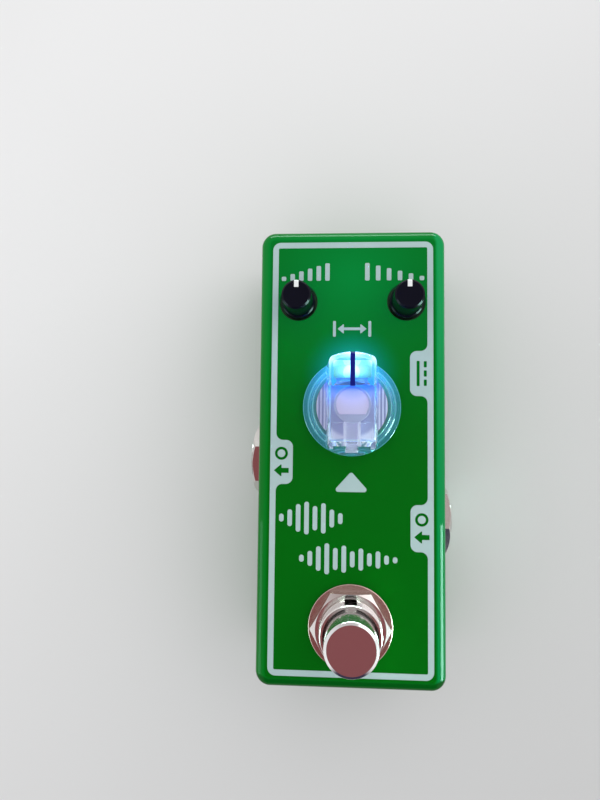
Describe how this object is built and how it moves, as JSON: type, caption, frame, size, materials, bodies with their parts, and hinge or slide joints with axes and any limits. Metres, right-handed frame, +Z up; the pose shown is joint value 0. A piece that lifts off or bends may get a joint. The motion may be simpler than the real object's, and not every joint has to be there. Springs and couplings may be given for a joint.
{
  "type": "delay pedal",
  "caption": "Compact effects pedal in a die-cast box with a lit clear main dial, small dials, a foot switch, side jacks for plugs and a power inlet.",
  "frame": {"origin": "on the surface that the pedal stands on, under the middle of the box", "axes": "+Z up, +Y from the foot switch towards the small dials, +X towards the input jack"},
  "size_m": [0.045, 0.0948, 0.0477],
  "materials": {
    "green_enamel": "gloss green enamel over die-cast aluminium",
    "black_plate": "satin black powder coat on sheet steel",
    "zinc_screw": "zinc-plated steel",
    "pad_rubber": "matt ribbed rubber sheet",
    "black_knob": "moulded black plastic, slightly glossy",
    "white_index": "white inlaid plastic",
    "clear_knob": "clear moulded plastic",
    "navy_index": "dark blue inlaid line",
    "shaft_plastic": "pale moulded plastic",
    "control_case": "pressed metal case",
    "nickel": "bright nickel plate",
    "plunger_chrome": "polished chrome plate",
    "lamp_lens": "clear blue-lit epoxy",
    "tinned_wire": "tinned wire",
    "spring_steel": "bright spring steel",
    "switch_blue": "blue moulded plastic",
    "contact_brass": "plain brass",
    "board_green": "glass fibre board with green solder mask",
    "cable_grey": "grey insulated wires",
    "jack_black": "black moulded plastic",
    "chip_black": "black epoxy",
    "can_metal": "aluminium can"
  },
  "bodies": {
    "pedal": {"enclosure": "green_enamel", "base_plate": "black_plate", "base_screws": "zinc_screw", "rubber_pad": "pad_rubber", "level_pot": "control_case", "repeat_pot": "control_case", "time_pot": "control_case", "time_pot_washer": "nickel", "time_pot_nut": "nickel", "lamp": "lamp_lens", "lamp_leads": "tinned_wire", "switch_spring": "spring_steel", "switch_bush": "nickel", "switch_washer": "nickel", "switch_nut": "nickel", "switch_inner_nut": "nickel", "switch_frame": "nickel", "switch_body": "switch_blue", "switch_lugs": "contact_brass", "switch_board": "board_green", "switch_cable": "cable_grey", "output_jack_body": "jack_black", "output_jack_bush": "nickel", "output_jack_washer": "nickel", "output_jack_nut": "nickel", "output_jack_contacts": "contact_brass", "input_jack_body": "jack_black", "input_jack_bush": "nickel", "input_jack_washer": "nickel", "input_jack_nut": "nickel", "input_jack_contacts": "contact_brass", "inlet_body": "jack_black", "inlet_pin": "nickel", "inlet_contacts": "contact_brass", "main_board": "board_green", "power_board": "board_green", "board_header": "jack_black", "delay_chip": "chip_black", "amplifier_chip": "chip_black", "regulator": "chip_black", "capacitors": "can_metal", "resistors": "chip_black"},
    "level_dial": {"level_knob": "black_knob", "level_index": "white_index", "level_shaft": "shaft_plastic"},
    "repeat_dial": {"repeat_knob": "black_knob", "repeat_index": "white_index", "repeat_shaft": "shaft_plastic"},
    "main_dial": {"time_knob": "clear_knob", "time_core": "shaft_plastic", "time_index": "navy_index", "time_shaft": "shaft_plastic"},
    "foot_plunger": {"switch_plunger": "plunger_chrome"}
  },
  "joints": [
    {"name": "level_turn", "type": "hinge", "parent": "pedal", "child": "level_dial", "pos_m": [-0.0112, 0.0318, 0.034], "axis": [0, 0, -1], "range_deg": [-140, 140]},
    {"name": "repeat_turn", "type": "hinge", "parent": "pedal", "child": "repeat_dial", "pos_m": [0.0112, 0.0318, 0.034], "axis": [0, 0, -1], "range_deg": [-140, 140]},
    {"name": "time_turn", "type": "hinge", "parent": "pedal", "child": "main_dial", "pos_m": [0, 0.0097, 0.034], "axis": [0, 0, -1], "range_deg": [-140, 140]},
    {"name": "foot_press", "type": "slide", "parent": "pedal", "child": "foot_plunger", "axis": [0, 0, -1], "range_m": [0, 0.0032], "stiffness_N_per_m": 1500, "springref_m": -0.004, "deforming": ["switch_spring"]}
  ]
}
